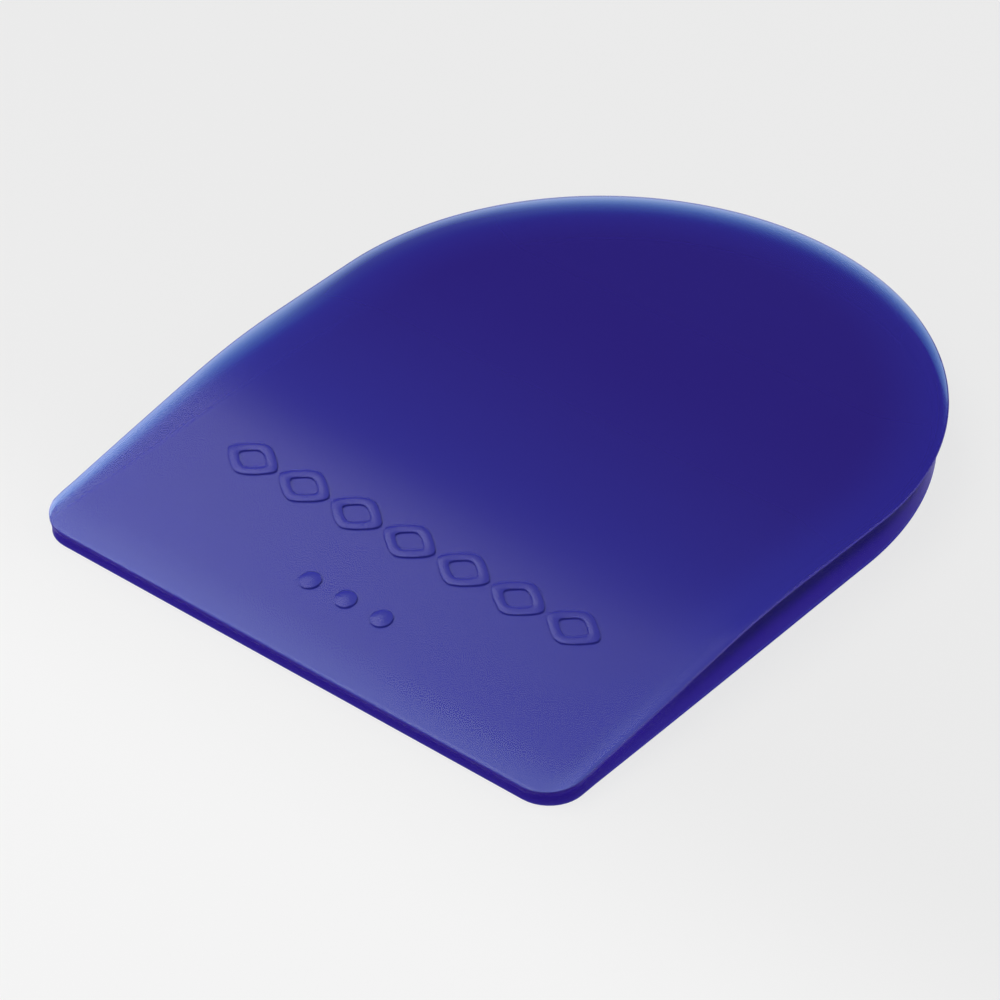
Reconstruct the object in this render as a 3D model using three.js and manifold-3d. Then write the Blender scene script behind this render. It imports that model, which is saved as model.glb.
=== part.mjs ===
// A one-piece heel cushion of clear blue silicone: a thin wedge under the arch that
// rises into a shallow dish for the heel, with a thin lip along its sides and back.
// Millimetres, +Z up, front edge towards -Y, heel towards +Y, flat base at Z = 0.

import * as THREE from "three";
import Module from "manifold-3d";
import { mergeVertices } from "three/addons/utils/BufferGeometryUtils.js";

// Outline at the lip
const WIDTH = 66;
const LENGTH = 79.6;
const FRONT_NARROWING = 1.5;
const CORNER_RADIUS = 4;

// Heights above the base
const FRONT_THICKNESS = 1.7;
const RIM_HEIGHT = 6.2;
const RIM_RAMP_LENGTH = 29;
const DISH_HEIGHT = 5.6;
const DISH_RAMP_LENGTH = 25;
const KNEE_LENGTH = 12;

// Dish and lip, measured inwards from the outline
const BOWL_WIDTH = 14;
const BOWL_RISE = 0.25;
const LIP_WIDTH = 2.4;
const LIP_EDGE = 0.25;
const LIP_CREST = 0.15;

// Base, drawn in from the outline by most at the widest place
const FRONT_INSET = 0.15;
const SIDE_INSET = 1.44;
const BACK_INSET = 0.4;
const INSET_EASE = 1.4;
const BASE_ROUND = 0.15;

// Wall under the lip, nearly upright and then flaring out to the lip's under edge
const WALL_DRAFT = 0.05;
const FLARE_START = 0.76;
const FLARE_EASE = 1.15;

// Raised pattern on the wedge: a row of pierced lozenges and a row of dots before it
const RELIEF = 0.2;
const RELIEF_SEAT = 0.5;
const LOZENGE_COUNT = 7;
const LOZENGE_PITCH = 6.6;
const LOZENGE_WIDTH = 6;
const LOZENGE_HEIGHT = 4.4;
const LOZENGE_BAND = 1.0;
const LOZENGE_ROUNDING = 0.25;
const LOZENGE_SIDES = 24;
const LOZENGE_ROW_Y = 17.5;
const DOT_COUNT = 3;
const DOT_PITCH = 4.4;
const DOT_RADIUS = 1.1;
const DOT_ROW_Y = 8.5;

// Facets
const FRONT_STEPS = 10;
const CORNER_STEPS = 6;
const SIDE_STEPS = 16;
const HEEL_STEPS = 40;
const LIP_STEPS = 5;
const DISH_STEPS = 14;
const ROUND_STEPS = 3;
const FLARE_STEPS = 5;

const FRONT_WIDTH = WIDTH - FRONT_NARROWING;
const HEEL_RADIUS = WIDTH / 2;
const HEEL_CENTRE_Y = LENGTH - HEEL_RADIUS;
const RIM_SLOPE = (RIM_HEIGHT - FRONT_THICKNESS) / RIM_RAMP_LENGTH;
const DISH_SLOPE = (DISH_HEIGHT - FRONT_THICKNESS) / DISH_RAMP_LENGTH;

// Two heights, the lower one taken, with their crossing rounded over a blend height.
function softMin(a, b, blend) {
  const share = THREE.MathUtils.clamp(0.5 + (0.5 * (b - a)) / blend, 0, 1);
  return THREE.MathUtils.lerp(b, a, share) - blend * share * (1 - share);
}

// Height of the lip's top edge at a distance y from the front edge.
function rimHeight(y) {
  const ramp = FRONT_THICKNESS + RIM_SLOPE * y;
  return softMin(ramp, RIM_HEIGHT, (RIM_SLOPE * KNEE_LENGTH) / 2);
}

function halfWidth(y) {
  const start = FRONT_WIDTH / 2;
  const share = THREE.MathUtils.clamp(
    (y - CORNER_RADIUS) / (HEEL_CENTRE_Y - CORNER_RADIUS), 0, 1);
  return start + (HEEL_RADIUS - start) * (1 - (1 - share) ** 2);
}

// Distance from a point of the top face to the side or heel outline.
function edgeDistance(x, y) {
  return y > HEEL_CENTRE_Y
    ? HEEL_RADIUS - Math.hypot(x, y - HEEL_CENTRE_Y)
    : halfWidth(y) - Math.abs(x);
}

// Share of a rise that fades to nothing at a given distance from the edge.
function fade(distance, width) {
  return Math.max(0, 1 - distance / width) ** 2;
}

// Height of the top face: wedge, rounded knee, dish, and the lip on top of them.
function topHeight(x, y, distance = edgeDistance(x, y)) {
  const wedge = FRONT_THICKNESS + DISH_SLOPE * y;
  const dish = DISH_HEIGHT + BOWL_RISE * fade(distance, BOWL_WIDTH);
  const face = softMin(wedge, dish, (DISH_SLOPE * KNEE_LENGTH) / 2);
  const lip = fade(Math.max(0, distance - LIP_CREST), LIP_WIDTH - LIP_CREST);
  return THREE.MathUtils.lerp(face, rimHeight(y), lip);
}

// Stations round the outline, each with its place and its outward direction.
function outlineStations() {
  const side = FRONT_WIDTH / 2;
  const corner = side - CORNER_RADIUS;
  const bendY = (CORNER_RADIUS + HEEL_CENTRE_Y) / 2;
  const line = (x0, y0, x1, y1) =>
    new THREE.LineCurve(new THREE.Vector2(x0, y0), new THREE.Vector2(x1, y1));
  const bend = (...points) =>
    new THREE.QuadraticBezierCurve(...points.map(([x, y]) => new THREE.Vector2(x, y)));
  const arc = (x, y, radius, from, to) =>
    new THREE.EllipseCurve(x, y, radius, radius, from, to);
  const stretches = [
    { curve: line(-corner, 0, corner, 0), steps: FRONT_STEPS },
    { curve: arc(corner, CORNER_RADIUS, CORNER_RADIUS, -Math.PI / 2, 0), steps: CORNER_STEPS },
    {
      curve: bend([side, CORNER_RADIUS], [HEEL_RADIUS, bendY], [HEEL_RADIUS, HEEL_CENTRE_Y]),
      steps: SIDE_STEPS,
    },
    { curve: arc(0, HEEL_CENTRE_Y, HEEL_RADIUS, 0, Math.PI), steps: HEEL_STEPS },
    {
      curve: bend([-HEEL_RADIUS, HEEL_CENTRE_Y], [-HEEL_RADIUS, bendY], [-side, CORNER_RADIUS]),
      steps: SIDE_STEPS,
    },
    {
      curve: arc(-corner, CORNER_RADIUS, CORNER_RADIUS, Math.PI, 1.5 * Math.PI),
      steps: CORNER_STEPS,
    },
  ];
  return stretches.flatMap(({ curve, steps }) =>
    Array.from({ length: steps }, (_, i) => {
      const place = curve.getPoint(i / steps);
      const along = curve.getTangent(i / steps);
      return { place, outward: new THREE.Vector2(along.y, -along.x) };
    }));
}

// A point set in from the outline at a station, at a height.
function pointAt(station, inset, height) {
  const { place, outward } = station;
  return new THREE.Vector3(
    place.x - inset * outward.x, place.y - inset * outward.y, height);
}

// How far the base is set in from the outline, by the outline's distance y.
function baseInset(y) {
  if (y > HEEL_CENTRE_Y) {
    const roundHeel = THREE.MathUtils.clamp((y - HEEL_CENTRE_Y) / HEEL_RADIUS, 0, 1);
    return THREE.MathUtils.lerp(BACK_INSET, SIDE_INSET, (1 - roundHeel ** 2) ** 2);
  }
  const share = THREE.MathUtils.clamp(y / HEEL_CENTRE_Y, 0, 1);
  return THREE.MathUtils.lerp(FRONT_INSET, SIDE_INSET, 1 - (1 - share) ** INSET_EASE);
}

// Share of that inset that the wall has come out by at a share of its height.
function wallOut(up) {
  const flare = (up - FLARE_START) / (1 - FLARE_START);
  return WALL_DRAFT * up + (1 - WALL_DRAFT) * flare ** FLARE_EASE;
}

// Rings of the pad from the base, up the wall, over the lip and in to the dish.
function padRings(stations, centre) {
  const rings = [];
  for (let i = 0; i <= ROUND_STEPS; i++) {
    const angle = (i / ROUND_STEPS) * (Math.PI / 2);
    rings.push(stations.map((s) =>
      pointAt(
        s,
        baseInset(s.place.y) + BASE_ROUND * (1 - Math.sin(angle)),
        BASE_ROUND * (1 - Math.cos(angle)),
      )));
  }
  for (let i = 0; i <= FLARE_STEPS; i++) {
    const up = THREE.MathUtils.lerp(FLARE_START, 1, i / FLARE_STEPS);
    rings.push(stations.map((s) => {
      const under = rimHeight(s.place.y) - LIP_EDGE;
      return pointAt(
        s,
        baseInset(s.place.y) * (1 - wallOut(up)),
        THREE.MathUtils.lerp(BASE_ROUND, under, up),
      );
    }));
  }
  for (let i = 0; i <= LIP_STEPS; i++) {
    const inset = THREE.MathUtils.lerp(LIP_CREST, LIP_WIDTH, i / LIP_STEPS);
    rings.push(stations.map((s) => {
      const point = pointAt(s, inset, 0);
      point.z = topHeight(point.x, point.y, inset);
      return point;
    }));
  }
  const lipRing = rings.at(-1);
  for (let i = 1; i < DISH_STEPS; i++) {
    rings.push(lipRing.map((p) => {
      const point = p.clone().lerp(centre, i / DISH_STEPS);
      point.z = topHeight(point.x, point.y);
      return point;
    }));
  }
  return rings;
}

// One closed skin: bands between the rings, and a fan over each end.
function padGeometry() {
  const stations = outlineStations();
  const count = stations.length;
  const centre = new THREE.Vector3(0, LENGTH / 2, 0);
  const rings = padRings(stations, centre);
  const points = rings.flat();
  const baseHub = points.push(centre.clone()) - 1;
  const topHub = points.push(new THREE.Vector3(0, centre.y, topHeight(0, centre.y))) - 1;
  const faces = [];
  for (let i = 0; i < count; i++) {
    const next = (i + 1) % count;
    faces.push(baseHub, next, i);
    for (let row = 0; row + 1 < rings.length; row++) {
      const low = row * count;
      const high = low + count;
      faces.push(low + i, low + next, high + next, low + i, high + next, high + i);
    }
    const last = (rings.length - 1) * count;
    faces.push(last + i, last + next, topHub);
  }
  const geometry = new THREE.BufferGeometry().setFromPoints(points);
  geometry.setIndex(faces);
  return geometry;
}

// Points of a lozenge with rounded tips, at a share of its full size.
function lozengePoints(share) {
  return Array.from({ length: LOZENGE_SIDES }, (_, i) => {
    const turn = (i / LOZENGE_SIDES) * 2 * Math.PI;
    const [x, y] = [Math.cos(turn), Math.sin(turn)];
    const across = Math.hypot(x, LOZENGE_ROUNDING) + Math.hypot(y, LOZENGE_ROUNDING);
    const size = (share * (Math.hypot(1, LOZENGE_ROUNDING) + LOZENGE_ROUNDING)) / across;
    return new THREE.Vector2((x * size * LOZENGE_WIDTH) / 2, (y * size * LOZENGE_HEIGHT) / 2);
  });
}

// A flat shape at a place on the wedge, given a height that follows the top face.
function reliefGeometry(shape, x, y) {
  const geometry = new THREE.ExtrudeGeometry(shape, {
    depth: 1, bevelEnabled: false, curveSegments: 6,
  });
  geometry.translate(x, y, 0);
  const at = geometry.getAttribute("position");
  for (let i = 0; i < at.count; i++) {
    const offset = at.getZ(i) > 0.5 ? RELIEF : -RELIEF_SEAT;
    at.setZ(i, topHeight(at.getX(i), at.getY(i)) + offset);
  }
  return geometry;
}

function reliefGeometries() {
  const lozenge = new THREE.Shape(lozengePoints(1));
  const holeShare = 1 - (2 * LOZENGE_BAND) / LOZENGE_HEIGHT;
  lozenge.holes.push(new THREE.Path(lozengePoints(holeShare)));
  const dot = new THREE.Shape().absarc(0, 0, DOT_RADIUS, 0, 2 * Math.PI);
  const row = (shape, count, pitch, y) =>
    Array.from({ length: count }, (_, i) =>
      reliefGeometry(shape, (i - (count - 1) / 2) * pitch, y));
  return [
    ...row(lozenge, LOZENGE_COUNT, LOZENGE_PITCH, LOZENGE_ROW_Y),
    ...row(dot, DOT_COUNT, DOT_PITCH, DOT_ROW_Y),
  ];
}

const wasm = await Module();
wasm.setup();

function solidOf(geometry) {
  const bare = geometry.clone().deleteAttribute("normal").deleteAttribute("uv");
  const merged = mergeVertices(bare, 1e-4);
  return new wasm.Manifold(new wasm.Mesh({
    numProp: 3,
    vertProperties: new Float32Array(merged.attributes.position.array),
    triVerts: new Uint32Array(merged.index.array),
  }));
}

function geometryOf(solid) {
  const { vertProperties, triVerts } = solid.getMesh();
  const geometry = new THREE.BufferGeometry();
  geometry.setAttribute("position", new THREE.BufferAttribute(vertProperties, 3));
  geometry.setIndex(new THREE.BufferAttribute(triVerts, 1));
  geometry.computeVertexNormals();
  return geometry;
}

const silicone = new THREE.MeshStandardMaterial({
  color: 0x2f2683, roughness: 0.3, metalness: 0,
});

const pad = reliefGeometries().reduce(
  (solid, relief) => solid.add(solidOf(relief)), solidOf(padGeometry()));

const cushion = new THREE.Mesh(geometryOf(pad), silicone);
cushion.name = "heel_cushion";
cushion.position.y = -LENGTH / 2;

const heelCushion = new THREE.Group();
heelCushion.add(cushion);

export default heelCushion;
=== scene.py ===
import math

import bmesh
import bpy
from mathutils import Matrix, Vector


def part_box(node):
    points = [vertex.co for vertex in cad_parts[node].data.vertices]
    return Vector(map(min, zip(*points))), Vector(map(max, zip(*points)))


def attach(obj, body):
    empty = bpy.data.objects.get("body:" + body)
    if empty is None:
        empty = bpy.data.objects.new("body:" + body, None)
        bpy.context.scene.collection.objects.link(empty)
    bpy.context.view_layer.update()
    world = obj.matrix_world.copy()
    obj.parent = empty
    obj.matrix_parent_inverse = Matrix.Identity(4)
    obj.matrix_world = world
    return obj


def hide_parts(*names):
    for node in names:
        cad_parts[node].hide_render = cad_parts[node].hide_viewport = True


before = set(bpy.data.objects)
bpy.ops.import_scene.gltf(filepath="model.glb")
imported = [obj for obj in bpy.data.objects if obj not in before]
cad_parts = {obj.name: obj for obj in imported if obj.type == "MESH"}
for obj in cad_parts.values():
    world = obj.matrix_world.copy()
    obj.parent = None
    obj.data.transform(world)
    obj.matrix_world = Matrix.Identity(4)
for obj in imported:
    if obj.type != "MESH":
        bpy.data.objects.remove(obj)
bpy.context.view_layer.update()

# A heel cushion of clear blue silicone on a pale floor. Sizes are in millimetres, and
# MM turns them into metres. The frame is the part's own: front edge towards -Y, heel
# towards +Y, flat base on the floor.
MM = 0.001

low, high = (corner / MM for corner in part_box("heel_cushion"))
WIDTH = high.x - low.x
LENGTH = high.y - low.y
RIM_HEIGHT = high.z - low.z
FRONT_Y = low.y

FRONT_NARROWING = 1.5
CORNER_RADIUS = 4
FRONT_THICKNESS = 1.7
RIM_RAMP_LENGTH = 29
DISH_HEIGHT = 5.6
DISH_RAMP_LENGTH = 25
KNEE_LENGTH = 12
BOWL_WIDTH = 14
BOWL_RISE = 0.25
LIP_WIDTH = 2.4
LIP_EDGE = 0.25
LIP_CREST = 0.15
FRONT_INSET = 0.15
SIDE_INSET = 1.44
BACK_INSET = 0.4
INSET_EASE = 1.4
BASE_ROUND = 0.15

# The wall under the lip: nearly upright, then flaring out to the lip's under edge
WALL_DRAFT = 0.05
FLARE_START = 0.76
FLARE_EASE = 1.15

# The raised pattern on the wedge
RELIEF = 0.2
RELIEF_SEAT = 0.5
RELIEF_ROUND = 0.06
LOZENGE_COUNT = 7
LOZENGE_PITCH = 6.6
LOZENGE_WIDTH = 6
LOZENGE_HEIGHT = 4.4
LOZENGE_BAND = 1.0
LOZENGE_ROUNDING = 0.25
LOZENGE_SIDES = 64
RELIEF_ROUND_STEPS = 3
LOZENGE_ROW_Y = 17.5
DOT_COUNT = 3
DOT_PITCH = 4.4
DOT_RADIUS = 1.1
DOT_SIDES = 48
DOT_ROW_Y = 8.5

# Fineness of the mesh
HEEL_SIDES = 144
SIDE_STEPS = 30
FRONT_CUTS = 47
CORNER_STEPS = 10
ROUND_ROWS = 4
WALL_ROWS = 20
EDGE_ROWS = 3
LIP_RINGS = 8
DISH_RINGS = 44
ROW = 1.0
SHARP_ANGLE = 45
SMOOTH_ANGLE = 32

# Two places this close are the same, and points this close are welded
TOUCH = 1e-3
WELD = 0.001

# Corner radii back from the front edge at which the side's steps end
LAST_STEP = 1.5

# Part of the way down that the finish counts as the lip's edge
EDGE_SHARE = 0.05
TOP_TOLERANCE = 0.02

FLOOR_SIZE = 3000
FLOOR_GAP = 0.02

FRONT_WIDTH = WIDTH - FRONT_NARROWING
HEEL_RADIUS = WIDTH / 2
HEEL_CENTRE_Y = LENGTH - HEEL_RADIUS
RIM_SLOPE = (RIM_HEIGHT - FRONT_THICKNESS) / RIM_RAMP_LENGTH
DISH_SLOPE = (DISH_HEIGHT - FRONT_THICKNESS) / DISH_RAMP_LENGTH


# Form of the cushion, measured from the middle of its front edge

def mixed(a, b, share):
    return a + (b - a) * share


def clamped(value):
    return min(1.0, max(0.0, value))


def soft_min(a, b, blend):
    """The lower of two heights, with their crossing rounded."""
    share = clamped(0.5 + 0.5 * (b - a) / blend)
    return mixed(b, a, share) - blend * share * (1 - share)


def rim_height(y):
    ramp = FRONT_THICKNESS + RIM_SLOPE * y
    return soft_min(ramp, RIM_HEIGHT, RIM_SLOPE * KNEE_LENGTH / 2)


def half_width(y):
    start = FRONT_WIDTH / 2
    share = clamped((y - CORNER_RADIUS) / (HEEL_CENTRE_Y - CORNER_RADIUS))
    return mixed(start, HEEL_RADIUS, 1 - (1 - share) ** 2)


def edge_distance(x, y):
    """How far in from the side or heel outline a point is."""
    if y > HEEL_CENTRE_Y:
        return HEEL_RADIUS - math.hypot(x, y - HEEL_CENTRE_Y)
    return half_width(y) - abs(x)


def fade(distance, width):
    return max(0.0, 1 - distance / width) ** 2


def top_height(x, y, distance):
    wedge = FRONT_THICKNESS + DISH_SLOPE * y
    dish = DISH_HEIGHT + BOWL_RISE * fade(distance, BOWL_WIDTH)
    face = soft_min(wedge, dish, DISH_SLOPE * KNEE_LENGTH / 2)
    lip = fade(max(0.0, distance - LIP_CREST), LIP_WIDTH - LIP_CREST)
    return mixed(face, rim_height(y), lip)


def base_inset(y):
    """How far the base is set in from the outline, most at the widest place."""
    if y > HEEL_CENTRE_Y:
        round_heel = clamped((y - HEEL_CENTRE_Y) / HEEL_RADIUS)
        return mixed(BACK_INSET, SIDE_INSET, (1 - round_heel ** 2) ** 2)
    share = clamped(y / HEEL_CENTRE_Y)
    return mixed(FRONT_INSET, SIDE_INSET, 1 - (1 - share) ** INSET_EASE)


def wall_out(up):
    """Share of the inset that the wall has come out by at a share of its height."""
    flare = max(0.0, (up - FLARE_START) / (1 - FLARE_START))
    return WALL_DRAFT * up + (1 - WALL_DRAFT) * flare ** FLARE_EASE


def outward(x, y):
    """Direction out of the outline at a point on it."""
    corner_x = FRONT_WIDTH / 2 - CORNER_RADIUS
    if y > HEEL_CENTRE_Y:
        return Vector((x, y - HEEL_CENTRE_Y)).normalized()
    if y < CORNER_RADIUS and abs(x) > corner_x:
        return Vector((x - math.copysign(corner_x, x), y - CORNER_RADIUS)).normalized()
    if y < CORNER_RADIUS / 2:
        return Vector((0, -1))
    return Vector((math.copysign(1, x), 0))


# Tools at the bench

def start_shaping(piece):
    bpy.ops.object.select_all(action="DESELECT")
    bpy.context.view_layer.objects.active = piece
    piece.select_set(True)
    bpy.ops.object.mode_set(mode="EDIT")
    bpy.ops.mesh.select_mode(type="VERT")


def done_shaping():
    bpy.ops.object.mode_set(mode="OBJECT")


def pick_points(piece, test):
    """Selects the points of the piece in hand whose place passes a test."""
    bpy.ops.mesh.select_all(action="DESELECT")
    mesh = bmesh.from_edit_mesh(piece.data)
    for point in mesh.verts:
        point.select = test(point.co)
    mesh.select_flush(True)
    bmesh.update_edit_mesh(piece.data)


def near(a, b):
    return abs(a - b) < TOUCH


def finish_modifier(piece, name):
    bpy.ops.object.select_all(action="DESELECT")
    bpy.context.view_layer.objects.active = piece
    piece.select_set(True)
    bpy.ops.object.modifier_apply(modifier=name)


# The pad, first as a straight-sided slab in millimetres with the outline of its lip

def draw_outline():
    """The heel's half round, its two sides and the rounded front, filled flat."""
    bpy.ops.object.select_all(action="DESELECT")
    bpy.ops.mesh.primitive_circle_add(vertices=HEEL_SIDES * 2, radius=HEEL_RADIUS)
    piece = bpy.context.object
    piece.name = piece.data.name = "gel_pad"
    start_shaping(piece)
    bpy.ops.transform.translate(value=(0, HEEL_CENTRE_Y, 0))
    pick_points(piece, lambda at: at.y < HEEL_CENTRE_Y - TOUCH)
    bpy.ops.mesh.delete(type="VERT")
    last_y = LAST_STEP * CORNER_RADIUS
    for side in (-1, 1):
        pick_points(piece, lambda at: near(at.x, side * HEEL_RADIUS))
        x, y = HEEL_RADIUS, HEEL_CENTRE_Y
        for step in range(1, SIDE_STEPS + 2):
            share = min(1.0, step / SIDE_STEPS)
            next_y = mixed(HEEL_CENTRE_Y, last_y, share) if step <= SIDE_STEPS else 0
            next_x = half_width(next_y)
            bpy.ops.mesh.extrude_region_move(
                TRANSFORM_OT_translate={"value": (side * (next_x - x), next_y - y, 0)})
            x, y = next_x, next_y
    pick_points(piece, lambda at: near(at.y, 0))
    bpy.ops.mesh.edge_face_add()
    bpy.ops.mesh.select_all(action="SELECT")
    bpy.ops.mesh.edge_face_add()
    pick_points(piece, lambda at: near(at.y, 0))
    bpy.ops.mesh.bevel(offset=CORNER_RADIUS, segments=CORNER_STEPS, affect="VERTICES")
    pick_points(piece, lambda at: near(at.y, 0))
    bpy.ops.mesh.subdivide(number_cuts=FRONT_CUTS)
    bpy.ops.mesh.select_all(action="SELECT")
    return piece


def raise_slab(piece):
    """Rows of the base round, the wall and the lip's edge, then rings in to the middle."""
    middle = (0, LENGTH / 2, 0)
    for _ in range(ROUND_ROWS + WALL_ROWS + EDGE_ROWS):
        bpy.ops.mesh.extrude_region_move(TRANSFORM_OT_translate={"value": (0, 0, ROW)})
    for ring in range(LIP_RINGS + 1):
        first = ring == 0
        bpy.ops.mesh.inset(thickness=LIP_CREST if first else (LIP_WIDTH - LIP_CREST) / LIP_RINGS)
    for ring in range(DISH_RINGS, 1, -1):
        bpy.ops.mesh.extrude_region_move()
        shrink = (ring - 1) / ring
        bpy.ops.transform.resize(value=(shrink, shrink, 1), center_override=middle)
    bpy.ops.mesh.merge(type="CENTER")
    bpy.ops.mesh.select_all(action="SELECT")
    bpy.ops.mesh.normals_make_consistent(inside=False)
    done_shaping()


def wall_place(x, y, row):
    """Inset and height of a point of the wall, by its row of the slab."""
    inset = base_inset(y)
    if row <= ROUND_ROWS:
        turn = math.pi / 2 * row / ROUND_ROWS
        return inset + BASE_ROUND * (1 - math.sin(turn)), BASE_ROUND * (1 - math.cos(turn))
    if row <= ROUND_ROWS + WALL_ROWS:
        up = (row - ROUND_ROWS) / WALL_ROWS
        return inset * (1 - wall_out(up)), mixed(BASE_ROUND, rim_height(y) - LIP_EDGE, up)
    turn = math.pi / 2 * (row - ROUND_ROWS - WALL_ROWS) / (EDGE_ROWS + 1)
    return LIP_CREST * (1 - math.cos(turn)), rim_height(y) - LIP_EDGE * (1 - math.sin(turn))


def press_form(piece):
    """Gives each point of the slab its place on the wall, the lip or the dish."""
    top_row = ROUND_ROWS + WALL_ROWS + EDGE_ROWS
    for point in piece.data.vertices:
        x, y, z = point.co
        row = round(z / ROW)
        distance = edge_distance(x, y)
        if row == top_row and (distance > LIP_CREST / 2 and y > LIP_CREST / 2):
            point.co.z = top_height(x, y, distance)
            continue
        inset, height = wall_place(x, y, row)
        way = outward(x, y)
        point.co = (x - inset * way.x, y - inset * way.y, height)


def set_in_frame(piece):
    """Brings a piece from the bench, in millimetres, to its place in metres."""
    piece.data.transform(Matrix.Scale(MM, 4) @ Matrix.Translation((0, FRONT_Y, 0)))


# The raised pattern, each shape modelled once, copied and joined to the pad

def start_relief(name, sides, radius):
    """A flat shape on the bench, which is then pressed up to a low block."""
    bpy.ops.object.select_all(action="DESELECT")
    bpy.ops.mesh.primitive_circle_add(vertices=sides, radius=radius, fill_type="NGON")
    piece = bpy.context.object
    piece.name = piece.data.name = name
    start_shaping(piece)
    bpy.ops.mesh.select_all(action="SELECT")
    return piece


def press_up(piece):
    """Gives a flat shape its height, and rounds the top edge of the block."""
    bpy.ops.mesh.select_all(action="SELECT")
    bpy.ops.mesh.extrude_region_move(
        TRANSFORM_OT_translate={"value": (0, 0, RELIEF + RELIEF_SEAT)})
    bpy.ops.mesh.select_all(action="SELECT")
    bpy.ops.mesh.normals_make_consistent(inside=False)
    bpy.ops.mesh.select_mode(type="EDGE")
    bpy.ops.mesh.select_all(action="DESELECT")
    mesh = bmesh.from_edit_mesh(piece.data)
    for edge in mesh.edges:
        on_top = all(near(point.co.z, RELIEF + RELIEF_SEAT) for point in edge.verts)
        edge.select = on_top and edge.calc_face_angle(0) > math.radians(SHARP_ANGLE)
    bmesh.update_edit_mesh(piece.data)
    bpy.ops.mesh.bevel(offset=RELIEF_ROUND, segments=RELIEF_ROUND_STEPS, affect="EDGES")
    done_shaping()


def lozenge_place(x, y):
    """Where a point of the unit disc lies on a lozenge with rounded tips."""
    reach = math.hypot(x, y)
    across = math.hypot(x / reach, LOZENGE_ROUNDING) + math.hypot(y / reach, LOZENGE_ROUNDING)
    size = (math.hypot(1, LOZENGE_ROUNDING) + LOZENGE_ROUNDING) / across
    return x * size * LOZENGE_WIDTH / 2, y * size * LOZENGE_HEIGHT / 2


def make_lozenge():
    piece = start_relief("lozenge", LOZENGE_SIDES, 1)
    bpy.ops.mesh.inset(thickness=2 * LOZENGE_BAND / LOZENGE_HEIGHT)
    bpy.ops.mesh.delete(type="ONLY_FACE")
    for point in bmesh.from_edit_mesh(piece.data).verts:
        point.co.x, point.co.y = lozenge_place(point.co.x, point.co.y)
    press_up(piece)
    return piece


def make_dot():
    piece = start_relief("dot", DOT_SIDES, DOT_RADIUS)
    press_up(piece)
    return piece


def lay_on_wedge(piece, x, y):
    """Moves a copy of a block to its place and slopes it as the top face slopes."""
    copy = piece.copy()
    copy.data = piece.data.copy()
    bpy.context.collection.objects.link(copy)
    for point in copy.data.vertices:
        point.co.x += x
        point.co.y += y
        ground = top_height(point.co.x, point.co.y, edge_distance(point.co.x, point.co.y))
        point.co.z += ground - RELIEF_SEAT
    return copy


def join_relief(pad, rows):
    """Fuses rows of copies of the blocks to the pad, and clears the blocks away."""
    laid = []
    for piece, count, pitch, y in rows:
        for index in range(count):
            laid.append(lay_on_wedge(piece, (index - (count - 1) / 2) * pitch, y))
        bpy.data.objects.remove(piece)
    bpy.ops.object.select_all(action="DESELECT")
    for block in laid:
        block.select_set(True)
    bpy.context.view_layer.objects.active = laid[0]
    bpy.ops.object.join()
    union = pad.modifiers.new("raised", "BOOLEAN")
    union.operation = "UNION"
    union.solver = "EXACT"
    union.object = laid[0]
    finish_modifier(pad, union.name)
    bpy.data.objects.remove(laid[0])
    start_shaping(pad)
    bpy.ops.mesh.select_all(action="SELECT")
    bpy.ops.mesh.remove_doubles(threshold=WELD)
    done_shaping()


def way_down(y, z):
    """0 to EDGE_SHARE down the lip's edge, and on to 1 down the wall."""
    depth = rim_height(y) - z
    if depth < LIP_EDGE:
        return EDGE_SHARE * depth / LIP_EDGE
    return mixed(EDGE_SHARE, 1, (depth - LIP_EDGE) / (rim_height(y) - LIP_EDGE))


def mark_form(piece):
    """Keeps for the finish how far each point is from the front edge and in from the
    outline, and how far down the lip's edge and the wall."""
    form = piece.data.attributes.new("gel_form", "FLOAT_VECTOR", "POINT")
    for point, value in zip(piece.data.vertices, form.data):
        x, y, z = point.co
        distance = edge_distance(x, y)
        on_top = z > top_height(x, y, distance) - TOP_TOLERANCE
        value.vector = (y, distance, 0 if on_top else way_down(y, z))


pad = draw_outline()
raise_slab(pad)
press_form(pad)
join_relief(pad, [
    (make_lozenge(), LOZENGE_COUNT, LOZENGE_PITCH, LOZENGE_ROW_Y),
    (make_dot(), DOT_COUNT, DOT_PITCH, DOT_ROW_Y),
])
mark_form(pad)
set_in_frame(pad)
bpy.ops.object.select_all(action="DESELECT")
bpy.context.view_layer.objects.active = pad
pad.select_set(True)
bpy.ops.object.shade_smooth_by_angle(angle=math.radians(SMOOTH_ANGLE))

bpy.ops.mesh.primitive_plane_add(size=FLOOR_SIZE * MM, location=(0, 0, -FLOOR_GAP * MM))
floor = bpy.context.object
floor.name = "floor"

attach(pad, "root")
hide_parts("heel_cushion")


# Finishes

class Flow:
    """A socket of a finish, so that its maths is written as an expression."""

    def __init__(self, finish, socket):
        self.finish = finish
        self.socket = socket

    def math(self, operation, *values):
        return self.finish.add("ShaderNodeMath", {"operation": operation}, dict(enumerate(values)))

    def __add__(self, other):
        return self.math("ADD", self, other)

    def __radd__(self, other):
        return self.math("ADD", other, self)

    def __sub__(self, other):
        return self.math("SUBTRACT", self, other)

    def __rsub__(self, other):
        return self.math("SUBTRACT", other, self)

    def __mul__(self, other):
        return self.math("MULTIPLY", self, other)

    def __rmul__(self, other):
        return self.math("MULTIPLY", other, self)

    def __truediv__(self, other):
        return self.math("DIVIDE", self, other)

    def __rtruediv__(self, other):
        return self.math("DIVIDE", other, self)

    def between(self, low, high):
        """0 below low, 1 above high, and a smooth step from one to the other."""
        return self.finish.add(
            "ShaderNodeMapRange", {"interpolation_type": "SMOOTHSTEP"},
            {"Value": self, "From Min": low, "From Max": high})


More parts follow.
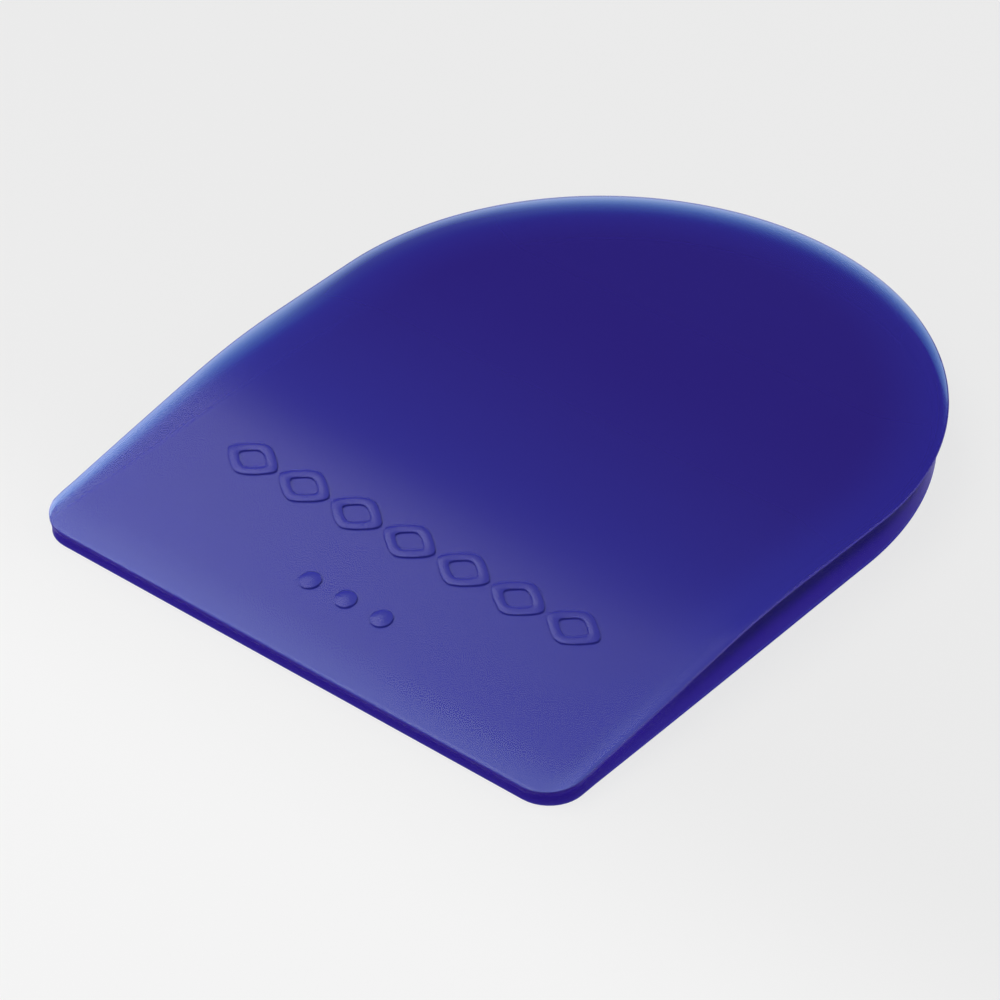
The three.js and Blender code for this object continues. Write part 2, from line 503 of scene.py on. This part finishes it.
class Finish:
    """A material on the bench: adds nodes to it and hands back their sockets."""

    def __init__(self, data):
        self.data = data
        data.use_nodes = True
        self.tree = data.node_tree
        self.tree.nodes.clear()

    def add(self, kind, settings=None, values=None, out=0):
        node = self.tree.nodes.new(kind)
        for name, value in (settings or {}).items():
            setattr(node, name, value)
        for name, value in (values or {}).items():
            if isinstance(value, Flow):
                self.tree.links.new(value.socket, node.inputs[name])
            else:
                node.inputs[name].default_value = value
        return Flow(self, node.outputs[out]) if len(node.outputs) else None

    def blend(self, share, one, other):
        """A colour between two colours."""
        return self.add("ShaderNodeMix", {"data_type": "RGBA"}, {0: share, 6: one, 7: other}, out=2)

    def noise(self, size, detail=2, **more):
        """Noise with bumps of about a given size in millimetres."""
        place = self.add("ShaderNodeTexCoord", out=3)
        return self.add(
            "ShaderNodeTexNoise", None,
            {"Vector": place, "Scale": 1 / (size * MM), "Detail": detail, **more})


# Colours of the gel as seen at each place, in linear light; some of them are painted light and
# shade, as marked where they are used
PALE_LIP_AND_PAINTED_GLOW = (0.126, 0.162, 0.414, 1)
WEDGE_BLUE = (0.0255, 0.0285, 0.228, 1)
DISH_RIM_PAINTED_LIGHT = (0.0185, 0.0145, 0.180, 1)
DISH_BLUE = (0.0175, 0.0103, 0.143, 1)
FRONT_WALL_PAINTED_SHADE = (0.018, 0.005, 0.185, 1)
SIDE_WALL_BLUE = (0.024, 0.011, 0.25, 1)
LIP_EDGE_PAINTED_HIGHLIGHT = (0.050, 0.040, 0.31, 1)
SHADED_BLUE = (0.007, 0.004, 0.11, 1)
FOOT_PAINTED_LIGHT = (0.032, 0.026, 0.30, 1)


def gel():
    """Clear gel that soaks light up, mixed with a cloudy one that gives deep parts their blue."""
    finish = Finish(bpy.data.materials.new("clear_blue_gel"))
    form = finish.add("ShaderNodeAttribute", {"attribute_name": "gel_form"}, out=1)
    along, inward, down = (
        finish.add("ShaderNodeSeparateXYZ", None, {"Vector": form}, out=axis) for axis in range(3))
    # Millimetres from the front edge and in from the outline, and the share of the way down
    on_edge = down.between(0.004, 0.02)
    on_wall = down.between(EDGE_SHARE - 0.003, EDGE_SHARE + 0.007)
    thick = along.between(-5, 58) * (0.97 + 0.06 * finish.noise(9))
    # Painted light: the dish is made lighter within a few millimetres of its rim, where its rising
    # sides catch more light
    dish = finish.blend(inward.between(1, 8), DISH_RIM_PAINTED_LIGHT, DISH_BLUE)
    top = finish.blend(thick, WEDGE_BLUE, dish)
    # Paler at the thin front edge and near the outline's front half: partly the thin gel's lighter
    # tint, partly painted glow of light coming through it
    tail = (1 - inward.between(0.6, 3)) * (1 - along.between(8, 26))
    thin_gel_and_glow = 0.2 * (1 - along.between(-1, 6)) + 0.14 * tail
    top = finish.blend(thin_gel_and_glow, top, PALE_LIP_AND_PAINTED_GLOW)
    # Painted shade: the front wall is given a darker blue than the side walls
    low = finish.blend(along.between(0, 12), FRONT_WALL_PAINTED_SHADE, SIDE_WALL_BLUE)
    # Painted highlight: a lighter blue line along the lip's rounded edge, from about 8 mm back from
    # the front
    edge = finish.blend(along.between(1, 8), low, LIP_EDGE_PAINTED_HIGHLIGHT)
    top = finish.blend(on_edge, top, edge)
    # Painted shade: the upper part of the wall under the lip's overhang is darkened, from about 8
    # mm back from the front
    shaded = along.between(8, 30) * (1 - down.between(0.40, 0.74))
    wall = finish.blend(shaded, low, SHADED_BLUE)
    # Painted light: the foot of the wall is made a lighter blue, as lit by the pale floor beneath
    # it
    wall = finish.blend(down.between(0.84, 0.98), wall, FOOT_PAINTED_LIGHT)
    widest = along.between(28, 47) * (1 - along.between(56, 76))
    inner = inward.between(0.2 - 0.4 * widest, 2.0 - 0.5 * widest)
    clear_top = (0.75 + 0.09 * thick) - (0.20 + 0.09 * thick + 0.45 * widest) * inner
    clear_top = clear_top + on_edge * (0.55 - clear_top)
    clear_wall = 0.9 - 0.4 * down.between(0.24, 0.6) - 0.45 * down.between(0.9, 0.98)
    share = clear_top + on_wall * (clear_wall - clear_top)
    seen = finish.blend(on_wall, top, wall)
    colour = finish.add(
        "ShaderNodeVectorMath", {"operation": "SCALE"}, {0: seen, "Scale": 1 / (1 - share)})
    grain = finish.noise(0.35, 3)
    bump = finish.add(
        "ShaderNodeBump", None, {"Strength": 0.03, "Distance": 0.1 * MM, "Height": grain})
    matt = 0.7 * (1 - inward.between(0.4, 3.4)) * along.between(20, 40)
    gloss = (1 - on_wall) * (1 - matt)
    skin = {"Normal": bump, "Coat Weight": gloss, "Coat IOR": 1.25, "Coat Roughness": 0.15}
    cloudy = finish.add("ShaderNodeBsdfPrincipled", None, {
        "Base Color": colour, "Roughness": 0.4, "Specular IOR Level": 0.0, **skin})
    clear = finish.add("ShaderNodeBsdfPrincipled", None, {
        "Base Color": (1, 1, 0.98, 1), "Roughness": 0.15, "IOR": 1.08,
        "Transmission Weight": 1.0, **skin})
    body = finish.add("ShaderNodeMixShader", None, {0: share, 1: cloudy, 2: clear})
    inside = finish.add("ShaderNodeVolumeAbsorption", None, {
        "Color": (0.33, 0.57, 0.68, 1), "Density": 3000})
    finish.add("ShaderNodeOutputMaterial", None, {"Surface": body, "Volume": inside})
    return finish.data


def paper():
    """A pale sheet on a light table, so that it glows a little."""
    finish = Finish(bpy.data.materials.new("pale_paper"))
    place = finish.add("ShaderNodeTexCoord", out=3)
    depth = finish.add("ShaderNodeSeparateXYZ", None, {"Vector": place}, out=1)
    # The sheet is a little darker and glows a little less towards the back: a painted falloff of
    # the light
    back = depth.between(-0.06, -0.02) * (0.9 + 0.1 * finish.noise(60))
    tone = finish.blend(back, (0.05, 0.05, 0.05, 1), (0.045, 0.045, 0.045, 1))
    glow = finish.blend(back, (0.825, 0.825, 0.825, 1), (0.755, 0.755, 0.755, 1))
    sheet = finish.add("ShaderNodeBsdfPrincipled", None, {
        "Base Color": tone, "Roughness": 0.8, "Specular IOR Level": 0.2,
        "Emission Color": glow, "Emission Strength": 1.0})
    finish.add("ShaderNodeOutputMaterial", None, {"Surface": sheet})
    return finish.data


pad.data.materials.clear()
pad.data.materials.append(gel())
floor.data.materials.append(paper())


# Camera and lights

VIEW_AZIMUTH = math.radians(40.156)
VIEW_ELEVATION = math.radians(37.495)
VIEW_DISTANCE = 467.94
VIEW_LENS = 174.54
VIEW_SENSOR = 36
NEAREST_SEEN = 0.01
AIM = Vector((-3.312, -5.271, -2.267))

CORNER = Vector((-30, -36, 2))
LAMP_PLACE = Vector((-95, -75, 60))
LAMP_SIZE = 60
LAMP_ENERGY = 0.046


def set_camera():
    back = Vector((
        math.sin(VIEW_AZIMUTH) * math.cos(VIEW_ELEVATION),
        -math.cos(VIEW_AZIMUTH) * math.cos(VIEW_ELEVATION),
        math.sin(VIEW_ELEVATION),
    ))
    bpy.ops.object.camera_add(location=(AIM + back * VIEW_DISTANCE) * MM)
    camera = bpy.context.object
    camera.rotation_mode = "QUATERNION"
    camera.rotation_quaternion = (-back).to_track_quat("-Z", "Y")
    camera.data.lens = VIEW_LENS
    camera.data.sensor_width = VIEW_SENSOR
    camera.data.clip_start = NEAREST_SEEN
    bpy.context.scene.camera = camera


def light_studio():
    """A soft ceiling, brightest on the left, a dark wall behind the cushion, and a small
    panel behind it on the right that picks out its near lip."""
    room = Finish(bpy.data.worlds.new("studio"))
    way = room.add("ShaderNodeTexCoord", out=0)
    height = room.add("ShaderNodeSeparateXYZ", None, {"Vector": way}, out=2)
    behind = Vector((-math.sin(VIEW_AZIMUTH), math.cos(VIEW_AZIMUTH), 0))
    left = Vector((-math.cos(VIEW_AZIMUTH), -math.sin(VIEW_AZIMUTH), 0))
    away, aside = (
        room.add("ShaderNodeVectorMath", {"operation": "DOT_PRODUCT"}, {0: way, 1: side}, out=1)
        for side in (behind, left))
    wall = room.blend(away.between(-0.3, 0.3), (0.8, 0.8, 0.8, 1), (0.06, 0.06, 0.06, 1))
    ceiling = room.blend(aside.between(0.045, 0.27), (0.5, 0.5, 0.5, 1), (4.1, 4.1, 4.1, 1))
    tone = room.blend(height.between(0.642, 0.765), wall, ceiling)
    toward_strip = room.add(
        "ShaderNodeVectorMath", {"operation": "DOT_PRODUCT"},
        {0: way, 1: Vector((0.61, 0.60, 0.52))}, out=1)
    tone = room.blend(toward_strip.between(0.94, 0.98), tone, (3, 3, 3, 1))
    glow = room.add("ShaderNodeBackground", None, {"Color": tone})
    room.add("ShaderNodeOutputWorld", None, {"Surface": glow})
    bpy.context.scene.world = room.data


def light_near_corner():
    """A small soft lamp low on the left, which brightens the front left corner."""
    bpy.ops.object.light_add(type="AREA", location=LAMP_PLACE * MM)
    lamp = bpy.context.object
    lamp.name = "corner_lamp"
    lamp.rotation_mode = "QUATERNION"
    lamp.rotation_quaternion = (CORNER - LAMP_PLACE).to_track_quat("-Z", "Y")
    lamp.data.shape = "DISK"
    lamp.data.size = LAMP_SIZE * MM
    lamp.data.energy = LAMP_ENERGY


set_camera()
light_studio()
light_near_corner()
bpy.context.scene.view_settings.view_transform = "Standard"
